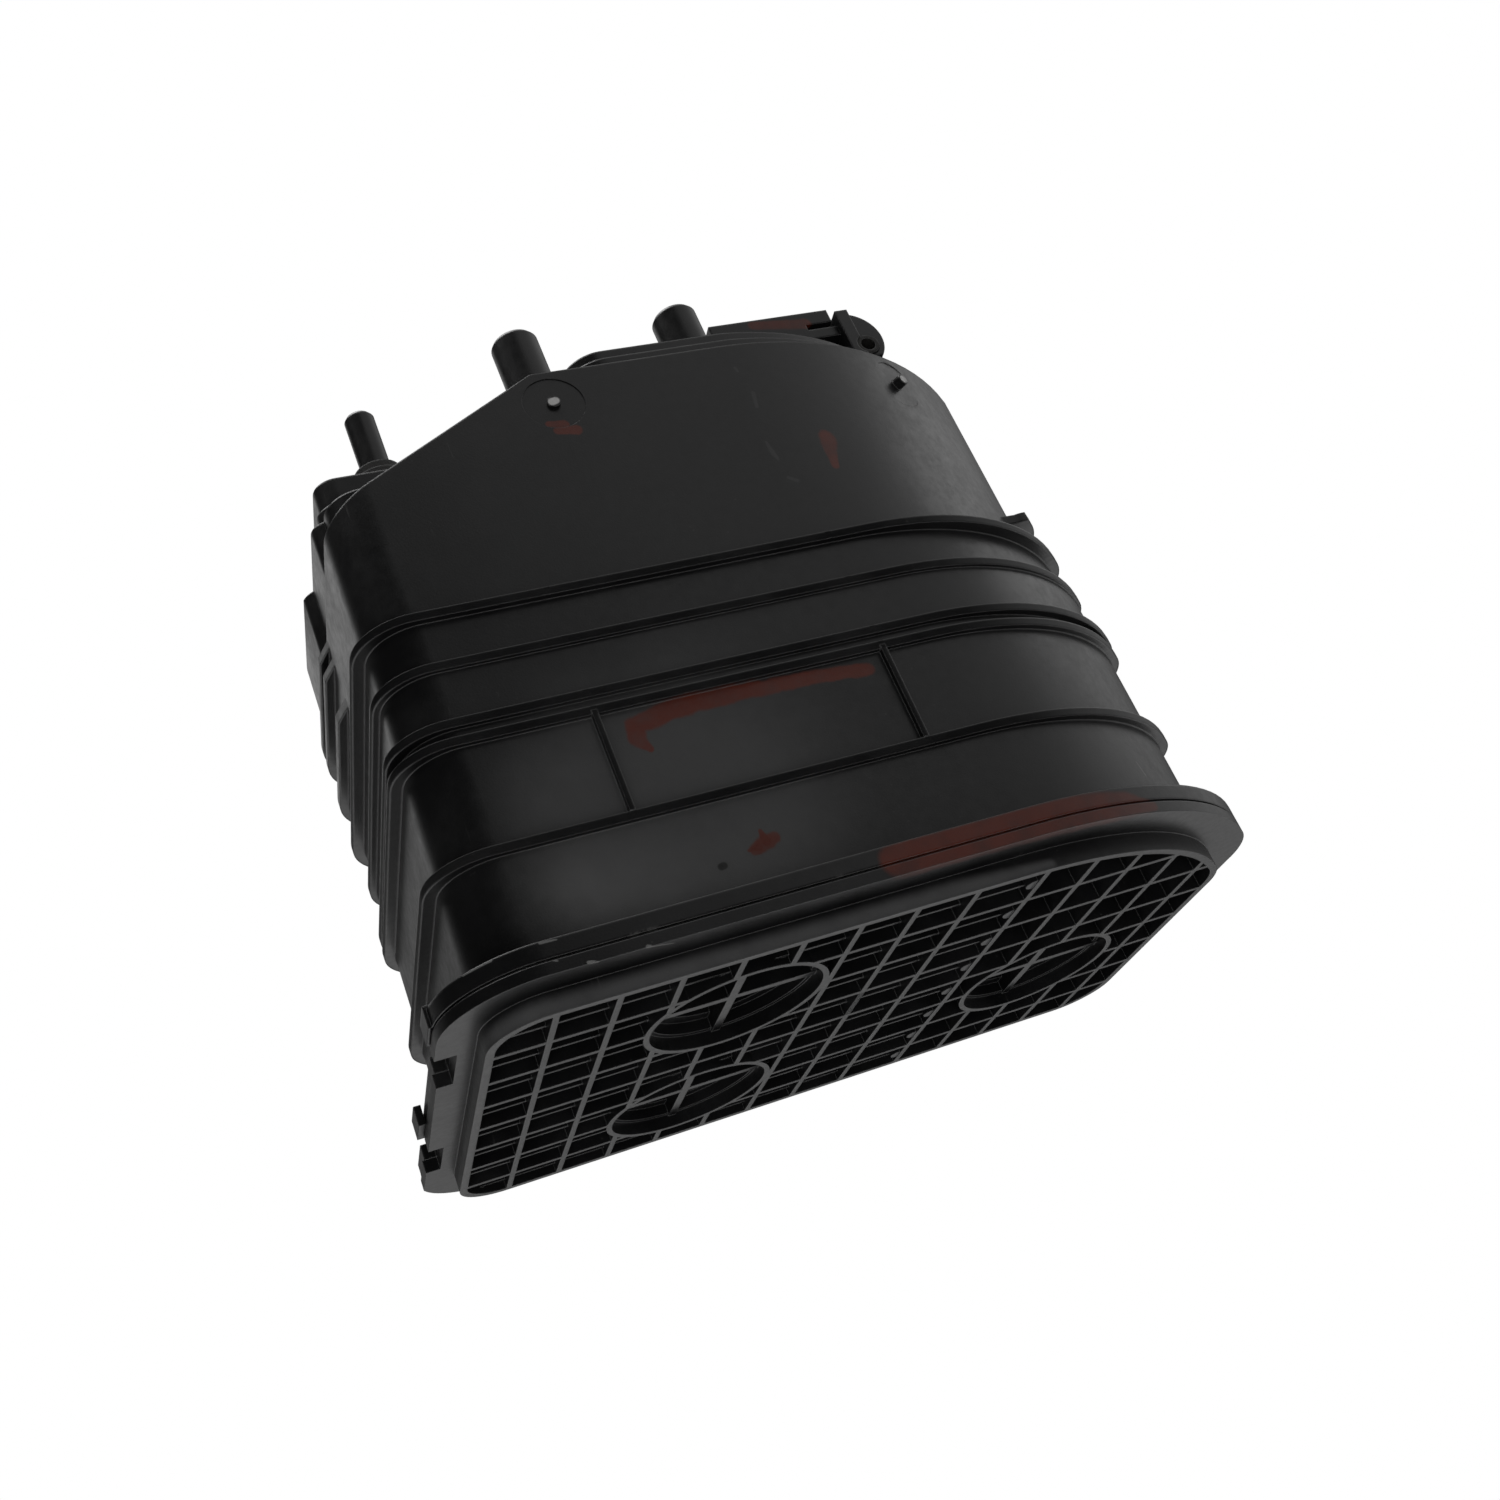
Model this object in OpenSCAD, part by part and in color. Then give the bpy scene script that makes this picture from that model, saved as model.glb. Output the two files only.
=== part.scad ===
// Charcoal canister for a vehicle fuel system: a moulded two-chamber shell with belts
// around it, a ribbed cover welded on below, a small cap welded on above, three hose
// nipples, and two carbon beds held between felt pads by sprung plates.
// The part stands on the rib ends of its cover, on the plane z = 0; the front is -Y.

/* [Body outline] */
// left edge of the body from the middle rib crossing
body_left = 97.5; // [80:0.5:130]
// right edge of the body from the middle rib crossing
body_right = 102; // [90:0.5:112]
// front edge of the body from the middle rib crossing
body_front = 66; // [60:0.5:90]
// back edge of the body from the middle rib crossing
body_back = 64.1; // [60:0.5:90]
// radius of the three tight corners
corner_r = 14; // [12:0.5:22]
// radius of the long curve at the front right
sweep_r = 85; // [80:1:100]
// radius of the tight end of the long curve
sweep_end_r = 21; // [16:0.5:24]
// where the long curve leaves the front face
sweep_start = 29; // [24:0.5:34]
// how much sooner the long curve starts on the upper shell
sweep_shift = 14; // [8:0.1:16]
// how much flatter the long curve is on the upper shell
sweep_flat = 22; // [18:0.5:26]
// wall thickness of the shell
wall = 2.5; // [2:0.1:3.5]
// where the partition between the chambers stands
partition_x = 33.5; // [28:0.5:40]

/* [Flange and cover] */
// how far the weld flange stands out of the body
flange_out = 9; // [6:0.5:12]
// height of the flange underside, also the height of the cover rim
flange_low = 5; // [3:0.1:8]
// thickness of the cover half of the flange
cover_flange_t = 3.4; // [2.5:0.1:6]
// thickness of the shell half of the flange
shell_flange_t = 4; // [3:0.1:6]
// thickness of the cover floor and of its rim
cover_t = 2; // [1.6:0.1:3]
// thickness of the cover ribs
rib_t = 1.5; // [1:0.1:2.5]
// pitch of the ribs that run from front to back
rib_pitch = 13.9; // [12:0.1:16]
// pitch of the ribs that run across
cross_pitch = 16.3; // [14:0.1:18]
// radius of the round spring wells
well_r = 21.9; // [19:0.1:23]
// sideways place of the two left spring wells
well_left_x = -37; // [-42:0.5:-30]
// sideways place of the right spring well
well_right_x = 62.4; // [58:0.2:66]
// height of the spring wells above the cover floor
well_rise = 9; // [6:0.5:12]
// thickness of the crossed ribs in the wells
cross_t = 2.2; // [1.4:0.1:3]
// how deep the crossed ribs lie in the wells
cross_drop = 3; // [1:0.1:4]

/* [Belts] */
// height of the lowest belt
belt_1_z = 36.6; // [30:0.1:40]
// height of the lower belt of the pair
belt_2_z = 64.2; // [58:0.1:66]
// height of the upper belt of the pair
belt_3_z = 68.9; // [66.5:0.1:72]
// height of the fourth belt
belt_4_z = 83.9; // [76:0.1:88]
// height of the top belt that goes all round
belt_5_z = 97.4; // [91:0.1:100]
// height of the lowest belt round the back only
belt_6_z = 111.5; // [105:0.1:116]
// height of the upper pair of belts round the back only
belt_7_z = 124.5; // [118:0.1:128]
// thickness of a belt
belt_t = 2.2; // [1.6:0.1:3]
// how far a belt stands out of the front face
belt_out = 1.4; // [0.8:0.1:3]
// how much more a belt stands out at the two sides
belt_side = 1.6; // [0:0.1:3]

/* [Top] */
// height of the roof
roof_z = 164; // [150:0.5:180]
// how far the left shoulder lies below the roof
shoulder_drop = 5; // [2:0.5:8]
// where the sloping edge at the front left starts
slope_x = -36.8; // [-50:0.5:-30]
// angle of the sloping edge
slope_angle = 27.5; // [15:0.5:30]
// how deep the sloping edge runs from the front face
slope_depth = 29; // [15:0.5:35]
// height of the left dome above the shoulder
dome_rise = 14; // [10:0.5:20]

/* [Nipples] */
// outer radius of the purge nipple
purge_r = 4.2; // [3:0.05:5]
// outer radius of the tank and vent nipples
hose_r = 6.6; // [5:0.05:8]
// wall thickness of the nipples
nipple_t = 1.4; // [1:0.1:1.8]
// height of the purge nipple tip
purge_tip = 199.6; // [195:0.5:215]
// height of the tank nipple tip
tank_tip = 196; // [188:0.5:210]
// height of the vent nipple tip
vent_tip = 198.8; // [192:0.5:212]

/* [Filling] */
// height of the compressed springs
spring_h = 19; // [16:0.5:26]
// wire radius of the springs
wire_r = 1; // [0.7:0.1:1.4]
// thickness of the pressure plates
plate_t = 3; // [2:0.1:5]
// thickness of the felt pads
pad_t = 4; // [2:0.1:6]
// height of the carbon beds
bed_h = 82; // [60:0.5:86]
// gap between the filling and the walls
fit_gap = 0.3; // [0.2:0.05:0.6]

/* [Hidden] */
$fn = 64;
e = 0.01;
far = 220;
// heights, from the rest plane up
seam_z = flange_low + cover_flange_t;
flange_top = seam_z + shell_flange_t;
floor_z = seam_z;
plate_z = floor_z + spring_h;
low_pad_z = plate_z + plate_t;
bed_z = low_pad_z + pad_t;
top_pad_z = bed_z + bed_h;
pad_top_z = top_pad_z + pad_t;
shoulder_z = roof_z - shoulder_drop;
dome_z = shoulder_z + dome_rise;
// the shell steps in a little above each belt
step_0 = 0.4;
step_1 = 0.8;
step_2 = 1.1;
step_3 = 1.3;
step_4 = 1.6;
inset = step_4 + wall;
half_wall = wall / 2;
// the right side stands out below and leans in above; the back lies in a little
right_out = 2.7;
lean = 0.7;
back_in = 1.5;
back_round = 7;
// the tight end stands a hair proud where it takes over from the long curve
blend = 0.06;
flange_q = 1.2;
left_out = 0.8;
// rounding of the front end of a belt that goes round the back only
belt_end_r = 8;
// corner radius of the widest stage of the left shoulder
stage_r = 10;
// injection gates: one on the front face, one round the long curve, each in a round flat
gate_x = slope_x + 3.2;
gate_z = roof_z - 10.1;
gate_turn = 31;
gate_flat_r = 8;
gate_flat_in = 0.25;
gate_r = 1.7;
// the flange is cut back along the left side
shell_left = -body_left - flange_out + 1.8;
cover_left = -body_left - flange_out + 1.2;
notch_w = 18.5;
// spring wells
well_y = 2 * cross_pitch;
well_in = well_r - rib_t / 2;
cup_r = well_r - 3.4;
ledge_z = cross_drop + 0.5;
ridge_z = flange_low - 3.2;
coil_r = cup_r + wire_r + 0.6;
// nipple places
purge_x = -70.7;
purge_y = -15;
tank_x = -28.9;
tank_y = -40;
vent_x = 19.5;
vent_y = -38;
// cap on the roof
cap_left = -25.5;
cap_front = body_front - 8;
cap_back = 45;
cap_seat_t = 4;
cap_flange_t = 3.4;
cap_seam_z = roof_z + cap_seat_t;
cap_flange_z = cap_seam_z + cap_flange_t;
cap_rise = 5;
cap_z = cap_flange_z + cap_rise;
// arm on the cap, clear of the hose on the vent nipple
arm_y0 = vent_y + 3.5;
arm_y1 = arm_y0 + 9;
arm_x0 = vent_x + hose_r + 4.4;
arm_x1 = 60;
arm_top = cap_z + 20.7;
arm_low = arm_top - 10;
bar_t = 3.4;
// clip at the end of the arm
plate_x0 = 69.5;
plate_x1 = plate_x0 + 4;
clip_y0 = arm_y0 - 2.2;
eye_x = plate_x0 + 0.5;
eye_r = 10.7;
eye_z = cap_z + 6.6;
eye_len = 15;
// the ring sits low and to the right in the eye
ring_r = 3.4;
ring_x = eye_x + 5;
ring_z = eye_z - 2.4;
// shoulder of the purge nipple under its collar
foot_r = purge_r + 0.8;
collar_h = 6.4;

// the long curve and its tight end; k goes from 0 for the lower shell to 1 for the upper
function start_x(k) = sweep_start - k * sweep_shift;
function long_r(k) = sweep_r + k * sweep_flat;
function end_r(k) = sweep_end_r - 7 * k;
function sweep_c(k) = [start_x(k), -body_front + long_r(k)];
function end_x(k) = body_right - end_r(k);
function end_d(k) = end_x(k) - start_x(k);
function end_drop(k) = sqrt(pow(long_r(k) - end_r(k), 2) - pow(end_d(k), 2));
function end_c(k) = [end_x(k), -body_front + long_r(k) - end_drop(k)];
function dir(k) = (end_c(k) - sweep_c(k)) / (long_r(k) - end_r(k));

// body outline, grown by d all round; s widens both sides, q moves the right side out
// and t moves the back in, where the back left corner is rounder too
module outline(d, s = 0, q = 0, k = 0, t = 0) {
    l = -body_left - s;
    w = [s + q, 0];
    r = body_right + s + q;
    f = -body_front;
    b = body_back - t;
    c = corner_r;
    g = corner_r + (t > 0 ? back_round : 0);
    reach = long_r(k) + d + 40;
    union() {
        polygon([
            [l - d, f + c],
            [l + c, f - d],
            w + [start_x(k), f - d],
            w + sweep_c(k) + (long_r(k) + d) * dir(k),
            [r + d, end_c(k)[1]],
            [r + d, b - c],
            [r - c, b + d],
            [l + g, b + d],
            [l - d, b - g]
        ]);
        translate([l + c, f + c])
            circle(c + d);
        translate([l + g, b - g])
            circle(g + d);
        translate([r - c, b - c])
            circle(c + d);
        translate(w + end_c(k))
            circle(end_r(k) + d + blend);
        intersection() {
            translate(w + sweep_c(k))
                circle(long_r(k) + d);
            polygon([
                w + sweep_c(k),
                w + sweep_c(k) + [0, -reach],
                w + sweep_c(k) + reach * [0.6, -1],
                w + sweep_c(k) + reach * dir(k)
            ]);
        }
    }
}

// slab of the outline between two heights
module slab(z0, z1, d, s = 0, q = 0, k = 0, t = 0) {
    translate([0, 0, z0])
        linear_extrude(z1 - z0)
            outline(d, s, q, k, t);
}

// rectangle with rounded corners
module round_rect(x0, y0, x1, y1, r) {
    union() {
        translate([x0 + r, y0])
            square([x1 - x0 - 2 * r, y1 - y0]);
        translate([x0, y0 + r])
            square([x1 - x0, y1 - y0 - 2 * r]);
        for (x = [x0 + r, x1 - r])
            for (y = [y0 + r, y1 - r])
                translate([x, y])
                    circle(r);
    }
}

module box(x0, y0, z0, x1, y1, z1) {
    translate([x0, y0, z0])
        cube([x1 - x0, y1 - y0, z1 - z0]);
}

// side profile of the roof, run from front to back; drop lowers it by a wall
module roof_front(drop) {
    fall = tan(slope_angle);
    translate([0, far, 0])
        rotate([90, 0, 0])
            linear_extrude(2 * far)
                polygon([
                    [-far, flange_low],
                    [far, flange_low],
                    [far, roof_z - drop],
                    [slope_x + drop * tan(slope_angle / 2), roof_z - drop],
                    [-far, roof_z - drop / cos(slope_angle) - (far + slope_x) * fall]
                ]);
}

// behind the slope the shoulder widens to the left in three rounded stages
module roof_back(drop, start) {
    edge = -body_left - left_out + step_4 + drop;
    union() {
        layer(flange_low, shoulder_z - drop - flange_low)
            union() {
                round_rect(edge + 6.2, start, far, far, stage_r - drop);
                round_rect(edge + 2.7, start + 11, far, far, stage_r / 2 - drop);
                round_rect(edge - 0.4, 3 + drop, far, far, stage_r * 0.7 - drop);
            }
        box(slope_x + drop - e, start, flange_low, far, far, roof_z - drop);
    }
}

// upper shell: the outline cut by the roof, d outward, drop down from the roof
module crown(z0, d, drop, start) {
    intersection() {
        slab(z0, roof_z - drop, d, left_out, -lean - left_out, 1, back_in);
        union() {
            roof_front(drop);
            roof_back(drop, start);
        }
    }
}

// one belt
module belt(z, out, side, q) {
    slab(z, z + belt_t, out - step_2, side, q, 0, back_in + 0.8);
}

// a belt round the back only; at the right it starts at y0
module back_belt(z, t, y0) {
    intersection() {
        slab(z, z + t, belt_out + 0.4 - step_4, belt_side, -1, 0, back_in + 0.8);
        translate([0, 0, z - 1])
            linear_extrude(t + 2)
                union() {
                    polygon([
                        [-body_left + 1.5, -14],
                        [-body_left - 8, 14],
                        [-far, far],
                        [far, far],
                        [far, y0 + belt_end_r],
                        [body_right - 2 * belt_end_r, y0],
                        [0, 0]
                    ]);
                    translate([body_right + belt_side - belt_end_r, y0 + belt_end_r])
                        circle(belt_end_r);
                }
    }
}

// vertical tube standing on z0, bored through below by depth
module nipple(x, y, z0, z1, r) {
    translate([x, y, z0])
        cylinder(h = z1 - z0 - 1, r = r);
    translate([x, y, z1 - 1 - e])
        cylinder(h = 1 + e, r1 = r, r2 = r - 0.7);
}

module bore(x, y, z0, z1, r) {
    translate([x, y, z0])
        cylinder(h = z1 - z0, r = r - nipple_t);
}

module housing() {
    color([0.14, 0.14, 0.145])
        union() {
            shell();
            gate_stub(0, 0.7);
            gate_stub(gate_turn, 2.4);
        }
}

// shell with its flange, belts, dome and nipples
module shell() {
    slope_y = -body_front + slope_depth;
    difference() {
        union() {
            shell_flange();
            slab(flange_top - e, belt_1_z + 1, -step_0, 0, right_out, 0, back_in);
            slab(belt_1_z, belt_2_z + 1, -step_1, 0, right_out, 0, back_in);
            slab(belt_2_z, belt_4_z + 1, -step_2, 0, right_out - 0.1, 0, back_in);
            slab(belt_4_z, belt_5_z + 1, -step_3, 0, right_out - 1.3, 0.4, back_in);
            crown(belt_5_z, -step_4, 0, slope_y);
            belt(belt_1_z, belt_out + 0.9, belt_side, right_out - 0.4);
            belt(belt_2_z, belt_out + 0.3, belt_side, right_out - 0.6);
            belt(belt_3_z, belt_out, belt_side, right_out);
            belt(belt_4_z, belt_out - 0.2, belt_side - 0.9, right_out - 1.1);
            belt(belt_5_z, belt_out + 0.3, belt_side - 0.3, 0.1);
            back_belt(belt_6_z, belt_t + 0.6, -34);
            back_belt(belt_7_z, belt_t, 0);
            back_belt(belt_7_z + 5.5, belt_t, 0);
            // two upright ribs between the lower belts
            for (x = [-53.6, 19])
                box(x - 0.7, -body_front - 0.9, belt_1_z + 1, x + 0.7, 0, belt_2_z + 1);
            // left dome with a low step round its foot
            translate([0, 0, shoulder_z - 4])
                linear_extrude(dome_z - shoulder_z + 4)
                    round_rect(-90, -25, -46, 40, 6);
            translate([0, 0, shoulder_z - 4])
                linear_extrude(8)
                    round_rect(-91.5, -28, -43.5, 42.5, 7);
            // seat of the cap
            translate([0, 0, roof_z - e])
                linear_extrude(cap_seat_t + e)
                    cap_outline(0);
            nipple(purge_x, purge_y, dome_z - 3, purge_tip, purge_r);
            translate([purge_x, purge_y, dome_z - 1])
                cylinder(h = collar_h + 1, r = foot_r);
            nipple(tank_x, tank_y, roof_z - 3, tank_tip, hose_r);
            translate([tank_x, tank_y, roof_z - e])
                cylinder(h = 3, r = hose_r + 2);
            // two hooks on the left flange
            for (y = [-45.5, 20])
                hook(y);
        }
        // round flats sunk into the wall at the gates
        for (turn = [0, gate_turn])
            gate(turn)
                translate([0, 0, -gate_flat_in])
                    cylinder(h = 4, r = gate_flat_r);
        // chambers
        difference() {
            union() {
                slab(seam_z - 1, belt_4_z, -inset, 0, right_out, 0, back_in);
                crown(belt_4_z - 1, -inset, wall, slope_y + wall);
            }
            partition();
            roof_ribs();
        }
        // inside of the left dome
        translate([0, 0, shoulder_z - wall - 1])
            linear_extrude(dome_z - shoulder_z + 1)
                round_rect(-90 + wall, -25 + wall, -46 - wall, 40 - wall, 4);
        // opening under the cap
        translate([0, 0, roof_z - wall - 1])
            linear_extrude(cap_seat_t + wall + 2)
                cap_opening();
        bore(purge_x, purge_y, shoulder_z, purge_tip + 1, purge_r);
        bore(tank_x, tank_y, roof_z - wall - 1, tank_tip + 1, hose_r);
    }
}

// place of a gate, looking outward: on the front face, or turned round the long curve
module gate(turn) {
    reach = long_r(1) - step_4;
    curved = sweep_c(1) + [-lean, 0] + reach * [sin(turn), -cos(turn)];
    spot = turn > 0 ? curved : [gate_x, -body_front + step_4];
    translate([spot[0], spot[1], gate_z])
        rotate([90, 0, turn])
            children();
}

// stub left where the moulding was cut from its gate
module gate_stub(turn, out) {
    gate(turn)
        translate([0, 0, -half_wall])
            cylinder(h = half_wall + out, r = gate_r);
}

// places of the two notches along the left side
function notch_places() = [-43, 23];

// weld flange of the shell, cut back on the left and notched beside each hook
module shell_flange() {
    difference() {
        slab(seam_z, flange_top, flange_out, 0, flange_q);
        box(-far, notch_places()[0] + notch_w - 1, 0, shell_left, far, far);
        for (y = notch_places())
            box(-far, y, 0, -body_left - flange_out + 5, y + notch_w, far);
    }
}

module hook(y) {
    x = -body_left - flange_out;
    box(x - 0.6, y, seam_z, x + 6, y + 2, flange_top + 1);
    box(x - 0.6, y - 9, seam_z, x + 1.2, y + 2, flange_top + 1);
}

// wall between the chambers, with a window at its foot
module partition() {
    difference() {
        box(partition_x - half_wall, -far, 0, partition_x + half_wall, far, roof_z);
        box(partition_x - wall, -30, 0, partition_x + wall, 30, plate_z - 2);
    }
}

// ribs under the roof that hold the upper pads down
module roof_ribs() {
    for (x = [-70, -42, -14, 14, 62, 82])
        box(x - 0.8, -far, pad_top_z, x + 0.8, far, roof_z);
    difference() {
        for (y = [-40, 0, 40])
            box(-far, y - 0.8, pad_top_z, far, y + 0.8, roof_z);
        box(purge_x - 8, purge_y - 9, 0, purge_x + 8, purge_y + 9, roof_z);
        box(tank_x - 9, tank_y - 9, 0, tank_x + 9, tank_y + 9, roof_z);
    }
}

// outline of the cap on the roof
module cap_outline(d) {
    difference() {
        intersection() {
            outline(-7.7 + d, 0, -lean, 1, back_in);
            round_rect(cap_left - d, -cap_front - d, far, cap_back + d, 13 + d);
        }
        // room for the foot of the tank nipple and its hose
        translate([tank_x, tank_y])
            circle(hose_r + 2.4 - d);
    }
}

// the cap opens only into the right chamber and over a shelf beside it
module cap_opening() {
    intersection() {
        cap_outline(-cap_seat_t);
        translate([partition_x + half_wall, -far])
            square([far, 2 * far]);
    }
}

module bottom_cover() {
    color([0.15, 0.15, 0.155])
        union() {
            difference() {
                union() {
                    slab(0, seam_z, 0);
                    slab(flange_low, seam_z - 0.6, flange_out, 0, flange_q);
                    slab(flange_low + 1, seam_z, flange_out - 0.9, 0, flange_q);
                }
                slab(-1, floor_z - cover_t, -cover_t);
                box(-far, notch_places()[0] + notch_w - 1, 0, cover_left, far, far);
                for (y = notch_places())
                    box(-far, y, 0, -body_left - flange_out + 5, y + notch_w, far);
                wells(0);
            }
            // locating edge inside the shell
            difference() {
                slab(floor_z - 0.5, floor_z + 4, -inset - 0.4, 0, right_out, 0, back_in);
                slab(floor_z - 1, floor_z + 5, -inset - 2.2, 0, right_out, 0, back_in);
                box(partition_x - half_wall - 0.6, -far, 0, partition_x + half_wall + 0.6, far, far);
            }
            difference() {
                ribs();
                wells(0);
            }
            well_walls();
        }
}

function well_places() = [
    [well_left_x, -well_y],
    [well_left_x, well_y],
    [well_right_x, cross_pitch]
];

module wells(g) {
    for (p = well_places())
        translate([p[0], p[1], -1])
            cylinder(h = floor_z + 3, r = well_in + g);
}

module ribs() {
    intersection() {
        slab(0, floor_z - cover_t / 2, -cover_t / 2);
        union() {
            for (k = [-6 : 0])
                box(k * rib_pitch - rib_t / 2, -far, 0, k * rib_pitch + rib_t / 2, far, floor_z);
            for (x = [rib_pitch * 1.1, partition_x])
                box(x - rib_t / 2, -far, 0, x + rib_t / 2, far, floor_z);
            for (k = [1 : 4])
                box(partition_x + k * 14.2 - rib_t / 2, -far, 0,
                    partition_x + k * 14.2 + rib_t / 2, far, floor_z);
            for (k = [-3 : 3])
                box(-far, k * cross_pitch - rib_t / 2, 0, far, k * cross_pitch + rib_t / 2, floor_z);
            // fine ridges in the cells of the left chamber
            for (k = [-4 : 3])
                for (i = [1, 2])
                    box(-far, (k + i / 3) * cross_pitch - 0.4, ridge_z,
                        partition_x, (k + i / 3) * cross_pitch + 0.4, floor_z);
            // half-round gussets beside the partition rib
            for (k = [-4 : 3])
                translate([partition_x - rib_t / 2, (k + 0.5) * cross_pitch, 0.4])
                    cylinder(h = floor_z - 1, r = 2.2);
        }
    }
}

// round wells, each with a ledge, a cup that centres a spring and two crossed ribs
module well_walls() {
    top = floor_z + well_rise;
    for (p = well_places())
        translate([p[0], p[1], 0]) {
            difference() {
                union() {
                    cylinder(h = floor_z, r = well_r + rib_t / 2);
                    translate([0, 0, floor_z - cover_t])
                        cylinder(h = top - floor_z + cover_t, r = cup_r);
                }
                translate([0, 0, -1])
                    cylinder(h = ledge_z + 1, r = well_in);
                translate([0, 0, ledge_z - 1])
                    cylinder(h = floor_z - cover_t - ledge_z + 1, r = well_in - 1.2);
                translate([0, 0, floor_z - cover_t - 1])
                    cylinder(h = well_rise + 1, r = cup_r - cover_t);
            }
            difference() {
                union() {
                    box(-cross_t / 2, -well_in - 0.5, 0, cross_t / 2, well_in + 0.5, top - 1);
                    box(-well_in - 0.5, -cross_t / 2, 0, well_in + 0.5, cross_t / 2, top - 1);
                }
                translate([0, 0, -1])
                    cylinder(h = cross_drop + 1, r = well_in);
                difference() {
                    translate([0, 0, floor_z - cover_t / 2])
                        cylinder(h = far, r = far / 4);
                    cylinder(h = far, r = cup_r - cover_t / 2);
                }
            }
        }
}

// cap welded on the roof, with the vent nipple and the arm
module top_cap() {
    color([0.13, 0.13, 0.135])
        difference() {
            union() {
                translate([0, 0, cap_seam_z])
                    linear_extrude(0.6)
                        cap_outline(-0.8);
                translate([0, 0, cap_seam_z + 0.5])
                    linear_extrude(cap_flange_t - 0.5)
                        cap_outline(0);
                translate([0, 0, cap_flange_z - e])
                    linear_extrude(cap_rise + e)
                        cap_outline(-3);
                nipple(vent_x, vent_y, cap_z - 1, vent_tip, hose_r);
                // arm: a post beside the nipple and a split bar to the right
                box(arm_x0, arm_y0, cap_z - 1, arm_x0 + 9, arm_y1, arm_top);
                box(arm_x0 + 4, arm_y0, arm_low, arm_x1, arm_y1, arm_top);
                box(arm_x1 - 1, arm_y0, arm_top - 4.6, plate_x0 - 1, arm_y1, arm_top);
                box(arm_x1 - 1, arm_y0, arm_low, plate_x0, arm_y1, arm_low + bar_t);
                arm_tip();
            }
            // inside of the cap, closed over the left chamber
            translate([0, 0, cap_seam_z - 1])
                linear_extrude(cap_z - cap_seam_z + 1 - wall)
                    intersection() {
                        cap_outline(-cap_seat_t - 1);
                        translate([vent_x - hose_r - 2, -far])
                            square([far, 2 * far]);
                    }
            bore(vent_x, vent_y, cap_z - wall - 1, vent_tip + 1, hose_r);
        }
}

// tongue at the end of the lower bar, held in a window of the clip
module arm_tip() {
    box(plate_x0 - 2, arm_y0 + 1.5, arm_low, plate_x1, arm_y1 - 1.5, arm_low + bar_t);
}

// clip on the end of the arm: an upright plate with a window, and a round eye beside it
module arm_clip() {
    color([0.12, 0.12, 0.125])
        difference() {
            union() {
                box(plate_x0, clip_y0, cap_z, plate_x1, arm_y1 + 2.2, arm_top - 2.9);
                translate([eye_x, clip_y0 + 1, eye_z])
                    rotate([-90, 0, 0])
                        cylinder(h = eye_len, r = eye_r);
            }
            box(-far, -far, -far, plate_x0, far, far);
            box(-far, -far, -far, far, far, cap_z);
            arm_tip();
            translate([ring_x, clip_y0, ring_z])
                rotate([-90, 0, 0])
                    cylinder(h = eye_len + 2, r = ring_r);
        }
}

// ring pressed into the eye
module clip_ring() {
    color([0.08, 0.08, 0.085])
        translate([ring_x, clip_y0 + 0.4, ring_z])
            rotate([-90, 0, 0])
                difference() {
                    cylinder(h = eye_len, r = ring_r);
                    translate([0, 0, -1])
                        cylinder(h = eye_len + 2, r = ring_r - 1.2);
                }
}

// soft collar at the foot of the purge nipple
module purge_collar() {
    color([0.07, 0.07, 0.075])
        translate([purge_x, purge_y, dome_z])
            difference() {
                union() {
                    cylinder(h = 3.4, r = foot_r + 2.8);
                    cylinder(h = collar_h, r = foot_r + 1.6);
                }
                translate([0, 0, -1])
                    cylinder(h = collar_h + 2, r = foot_r);
            }
}

// plan shape of each chamber less the fit gap, for the lower (k = 0) or upper shell
module main_plan(k) {
    intersection() {
        outline(-inset - fit_gap, 0, k > 0 ? -lean : right_out, k, back_in);
        translate([-far, -far])
            square([far + partition_x - half_wall - fit_gap, 2 * far]);
    }
}

module vent_plan(k) {
    intersection() {
        outline(-inset - fit_gap, 0, k > 0 ? -lean : right_out, k, back_in);
        translate([partition_x + half_wall + fit_gap, -far])
            square([far, 2 * far]);
    }
}

module layer(z, h) {
    translate([0, 0, z])
        linear_extrude(h)
            children();
}

module main_carbon() {
    color([0.05, 0.05, 0.05])
        union() {
            layer(bed_z, belt_4_z - 2 - bed_z)
                main_plan(0);
            layer(belt_4_z - 2 - e, bed_z + bed_h - belt_4_z + 2 + e)
                main_plan(1);
        }
}

module vent_carbon() {
    color([0.05, 0.05, 0.05])
        union() {
            layer(bed_z, belt_4_z - 2 - bed_z)
                vent_plan(0);
            layer(belt_4_z - 2 - e, bed_z + bed_h - belt_4_z + 2 + e)
                vent_plan(1);
        }
}

module main_upper_pad() {
    color([0.7, 0.7, 0.66])
        layer(top_pad_z, pad_t)
            main_plan(1);
}

module main_lower_pad() {
    color([0.7, 0.7, 0.66])
        layer(low_pad_z, pad_t)
            main_plan(0);
}

module vent_upper_pad() {
    color([0.7, 0.7, 0.66])
        layer(top_pad_z, pad_t)
            vent_plan(1);
}

module vent_lower_pad() {
    color([0.7, 0.7, 0.66])
        layer(low_pad_z, pad_t)
            vent_plan(0);
}

// perforated plate: rows of slots
module main_plate() {
    color([0.2, 0.2, 0.2])
        difference() {
            layer(plate_z, plate_t)
                main_plan(0);
            for (x = [-78 : 16 : 18])
                for (y = [-34, 0, 34])
                    box(x - 2, y - 12, plate_z - 1, x + 2, y + 12, low_pad_z + 1);
        }
}

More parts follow.
